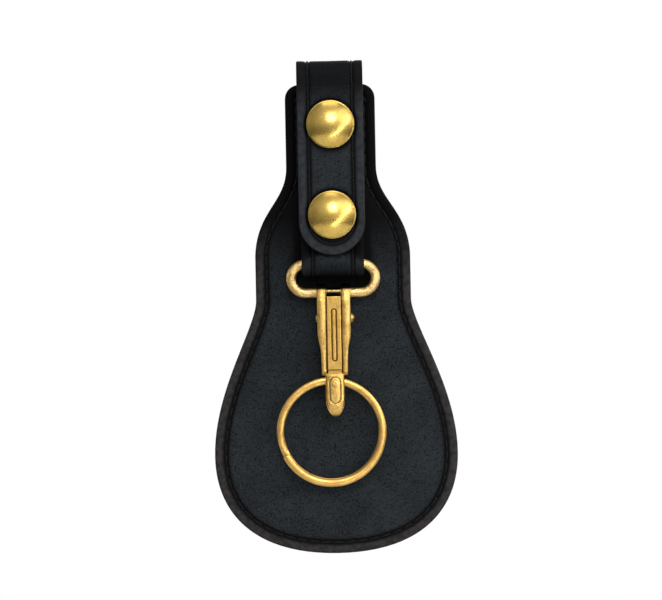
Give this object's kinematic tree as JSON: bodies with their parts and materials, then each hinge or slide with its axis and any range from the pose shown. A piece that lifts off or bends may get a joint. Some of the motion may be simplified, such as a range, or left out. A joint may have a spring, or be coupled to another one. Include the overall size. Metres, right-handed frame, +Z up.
{
  "type": "leather belt key holder",
  "caption": "Leather belt-loop key holder: strap closed by press studs, oblong dee, snap hook with sprung gate, split ring, and a stitched pear-shaped leather flap behind.",
  "frame": {"origin": "middle of the belt slot inside the strap's loop, where a belt holds the part up", "axes": "+Z up along the hanging part, +Y from the front tab to the flap's back, +X to the right seen from the front"},
  "size_m": [0.0768, 0.0155, 0.1554],
  "materials": {
    "flap_leather": "slate grey pebbled leather with a brownish burnished rim",
    "flap_backing": "charcoal flesh-side leather",
    "strap_leather": "slate grey smooth leather",
    "strap_lining": "matt charcoal lining leather",
    "thread": "waxed black thread",
    "snap_brass": "polished brass with light wear",
    "dee_brass": "satin antique brass",
    "hook_brass": "cast antique brass, worn",
    "gate_brass": "brushed antique brass",
    "ring_brass": "brass-plated spring wire, satin",
    "spring_steel": "bare spring steel"
  },
  "bodies": {
    "holder": {"flap_front": "flap_leather", "flap_back": "flap_backing", "flap_seam_front": "thread", "flap_seam_back": "thread", "strap_fold_outer": "strap_leather", "strap_fold_lining": "strap_lining", "strap_carrier_outer": "strap_leather", "strap_carrier_lining": "strap_lining", "strap_carrier_seam_left": "thread", "strap_carrier_seam_right": "thread", "snap_stud_upper": "snap_brass", "snap_post_upper": "snap_brass", "snap_stud_lower": "snap_brass", "snap_post_lower": "snap_brass"},
    "front_tab": {"strap_tab_outer": "strap_leather", "strap_tab_lining": "strap_lining", "strap_tab_seam": "thread", "snap_cap_upper": "snap_brass", "snap_socket_upper": "snap_brass", "snap_spring_upper": "spring_steel", "snap_cap_lower": "snap_brass", "snap_socket_lower": "snap_brass", "snap_spring_lower": "spring_steel"},
    "dee": {"dee_loop": "dee_brass"},
    "hook": {"hook_body": "hook_brass", "hook_gate_pin": "hook_brass", "hook_gate_spring": "spring_steel"},
    "gate": {"hook_gate": "gate_brass"},
    "key_ring": {"split_ring": "ring_brass"}
  },
  "joints": [
    {"name": "tab_open", "type": "hinge", "parent": "holder", "child": "front_tab", "pos_m": [0, 0, 0.0072], "axis": [-1, 0, 0], "range_deg": [0, 120], "deforming": ["strap_fold_outer", "strap_fold_lining"]},
    {"name": "dee_swing", "type": "hinge", "parent": "holder", "child": "dee", "pos_m": [0, 0.0008, -0.0547], "axis": [-1, 0, 0], "range_deg": [0, 60]},
    {"name": "hook_swing", "type": "hinge", "parent": "dee", "child": "hook", "pos_m": [0, 0.0008, -0.0636], "axis": [-1, 0, 0], "range_deg": [0, 60]},
    {"name": "gate_open", "type": "hinge", "parent": "hook", "child": "gate", "pos_m": [0, 0.00015, -0.0717], "axis": [1, 0, 0], "range_deg": [0, 9], "stiffness_Nm_per_rad": 0.2, "springref_deg": -14.32, "deforming": ["hook_gate_spring"]},
    {"name": "ring_swing", "type": "hinge", "parent": "hook", "child": "key_ring", "pos_m": [0, 0, -0.09135], "axis": [-1, 0, 0], "range_deg": [-4, 95]}
  ]
}
